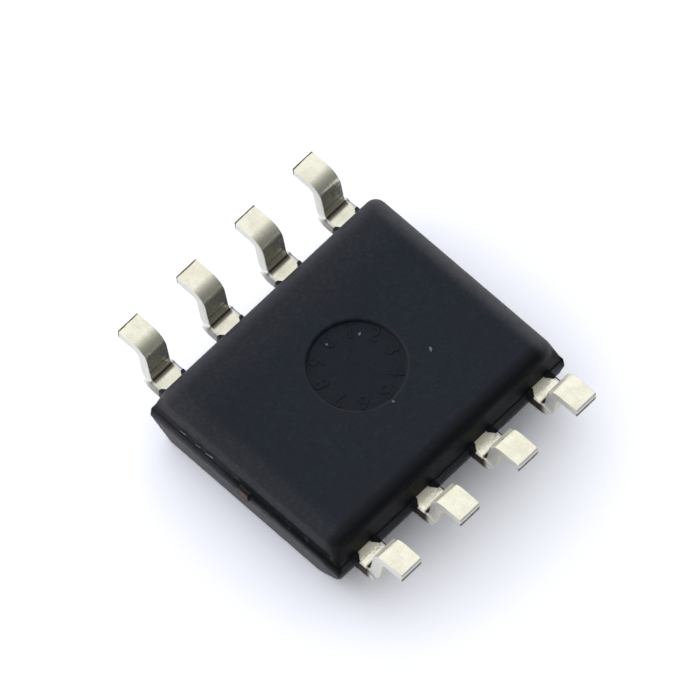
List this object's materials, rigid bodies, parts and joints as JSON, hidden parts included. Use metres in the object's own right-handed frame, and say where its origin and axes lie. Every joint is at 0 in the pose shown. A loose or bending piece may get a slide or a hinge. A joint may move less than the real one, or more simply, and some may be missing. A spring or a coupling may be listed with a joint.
{
  "type": "small-outline integrated circuit",
  "caption": "Small-outline integrated circuit lying on its back: a drafted moulded body with two rows of gull-wing leads.",
  "frame": {"origin": "middle of the marked face, which is the lowest face here: the part lies on its back with the feet up", "axes": "X along the two rows of leads, lead 1 at +X and -Y; Y across the rows; +Z out of the underside, towards the feet"},
  "size_m": [0.005, 0.006, 0.0017],
  "materials": {
    "moulding_compound": "matt black epoxy moulding compound with a fine spark-eroded texture",
    "tinned_lead": "copper-alloy lead with satin matt tin plating",
    "copper_frame": "bare copper-alloy lead frame, cut at the tie bars",
    "silver_epoxy": "silver-filled epoxy",
    "silicon": "polished silicon",
    "gold_wire": "bright gold bond wire"
  },
  "bodies": {
    "root": {"package_body": "moulding_compound", "die_paddle": "copper_frame", "die_attach": "silver_epoxy", "silicon_die": "silicon", "lead_1": "tinned_lead", "lead_2": "tinned_lead", "lead_3": "tinned_lead", "lead_4": "tinned_lead", "lead_5": "tinned_lead", "lead_6": "tinned_lead", "lead_7": "tinned_lead", "lead_8": "tinned_lead", "bond_wire_1": "gold_wire", "bond_wire_2": "gold_wire", "bond_wire_3": "gold_wire", "bond_wire_4": "gold_wire", "bond_wire_5": "gold_wire", "bond_wire_6": "gold_wire", "bond_wire_7": "gold_wire", "bond_wire_8": "gold_wire"}
  },
  "joints": []
}
